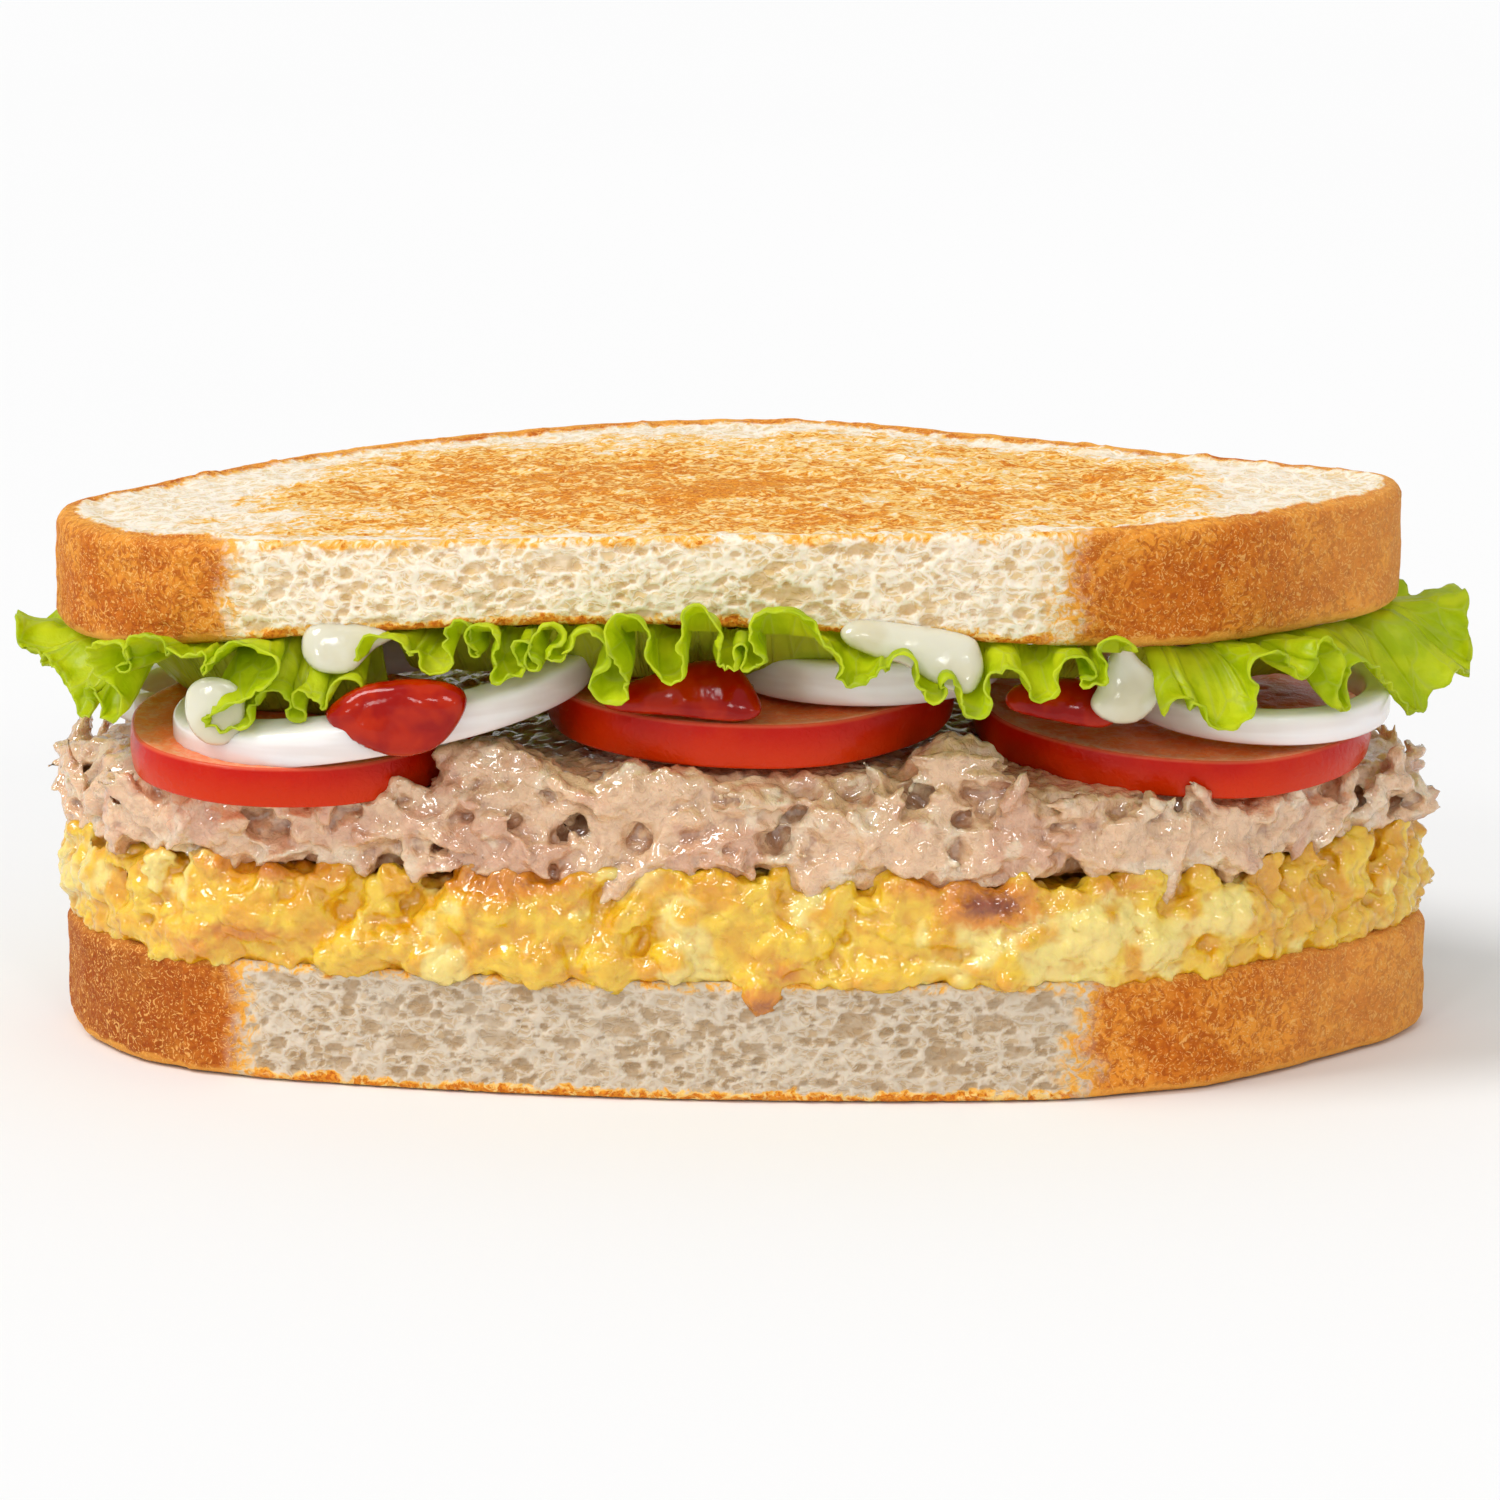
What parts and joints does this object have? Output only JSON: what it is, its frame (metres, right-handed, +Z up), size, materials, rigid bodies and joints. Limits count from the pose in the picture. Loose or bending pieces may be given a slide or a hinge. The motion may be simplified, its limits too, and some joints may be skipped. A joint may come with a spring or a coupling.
{
  "type": "tuna and egg sandwich",
  "caption": "Half of a toasted sandwich: scrambled egg, tuna mayonnaise, tomato slices, onion rings and frilled lettuce with mayonnaise and ketchup between two slices of white bread",
  "frame": {"origin": "on the flat underside of the lower slice, below the middle of the sandwich's length and depth", "axes": "+X along the cut front to its right end, +Y from the cut front to the back, +Z up through the layers"},
  "size_m": [0.176, 0.0978, 0.068],
  "materials": {
    "bread": "toasted white bread: browned faces and crust, cream crumb on the cut front",
    "egg": "moist soft curds with browned spots",
    "tuna": "moist creamy flakes",
    "tomato": "wet red skin and flesh",
    "onion": "translucent white, moist",
    "lettuce": "fresh yellow-green leaf with paler veins and rim",
    "mayonnaise": "smooth creamy sauce",
    "ketchup": "smooth glossy sauce"
  },
  "bodies": {
    "root": {"bottom_bread": "bread", "egg": "egg", "tuna": "tuna", "tomato_left": "tomato", "tomato_middle": "tomato", "tomato_right": "tomato", "tomato_back": "tomato", "onion_left": "onion", "onion_middle": "onion", "onion_right": "onion", "onion_back": "onion", "onion_far_left": "onion", "lettuce_left": "lettuce", "lettuce_middle": "lettuce", "lettuce_right": "lettuce", "lettuce_back_right": "lettuce", "lettuce_back_left": "lettuce", "mayonnaise_left_top": "mayonnaise", "mayonnaise_left_drip": "mayonnaise", "mayonnaise_middle": "mayonnaise", "mayonnaise_right": "mayonnaise", "ketchup_left": "ketchup", "ketchup_middle": "ketchup", "ketchup_right": "ketchup", "top_bread": "bread"}
  },
  "joints": []
}
